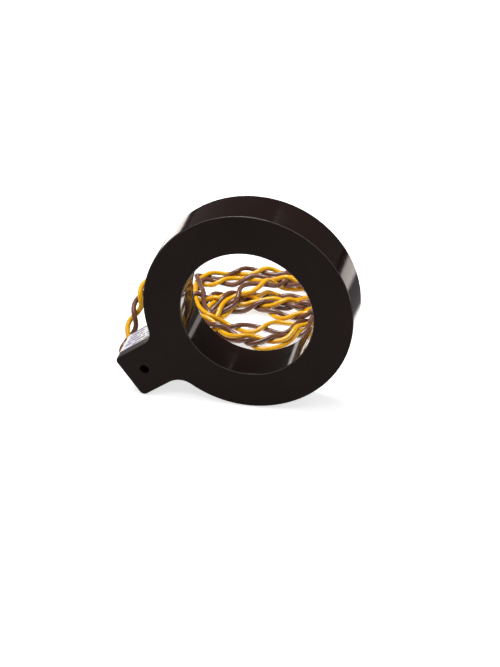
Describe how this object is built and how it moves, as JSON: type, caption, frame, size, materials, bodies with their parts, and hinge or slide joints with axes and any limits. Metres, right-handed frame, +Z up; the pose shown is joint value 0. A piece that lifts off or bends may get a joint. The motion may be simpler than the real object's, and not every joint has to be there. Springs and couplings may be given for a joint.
{
  "type": "solid-core current transformer",
  "caption": "Ring-shaped solid-core current transformer with a round window, a mounting lug and a twisted pair of bare-ended leads.",
  "frame": {"origin": "centre of the round window, half way through the ring", "axes": "+Y along the window's axis towards the potted rear side, -Y the closed front face, +Z up; the ring stands on its rim and on its lug's lower corner"},
  "size_m": [0.106, 0.1172, 0.0832],
  "materials": {
    "case": "glossy black moulded plastic, satin on the front face",
    "potting": "cured black epoxy",
    "core_steel": "wound silicon steel strip",
    "pressboard": "tan pressboard",
    "magnet_wire": "enamelled copper",
    "winding_tape": "amber polyester tape",
    "yellow_insulation": "glossy yellow PVC",
    "brown_insulation": "glossy brown PVC",
    "tinned_copper": "tinned stranded copper",
    "splice_sleeve": "black shrink sleeve",
    "label": "white film"
  },
  "bodies": {
    "root": {"case": "case", "potting": "potting", "core": "core_steel", "front_board": "pressboard", "rear_board": "pressboard", "inner_liner": "pressboard", "outer_liner": "pressboard", "winding": "magnet_wire", "winding_tape": "winding_tape", "yellow_conductor": "tinned_copper", "yellow_insulation": "yellow_insulation", "yellow_splice_barrel": "tinned_copper", "yellow_splice_sleeve": "splice_sleeve", "yellow_winding_end": "magnet_wire", "brown_conductor": "tinned_copper", "brown_insulation": "brown_insulation", "brown_splice_barrel": "tinned_copper", "brown_splice_sleeve": "splice_sleeve", "brown_winding_end": "magnet_wire", "label": "label", "lead_pair": "yellow_insulation", "lead_hank": "brown_insulation", "yellow_bare_end": "tinned_copper", "brown_bare_end": "tinned_copper"}
  },
  "joints": []
}
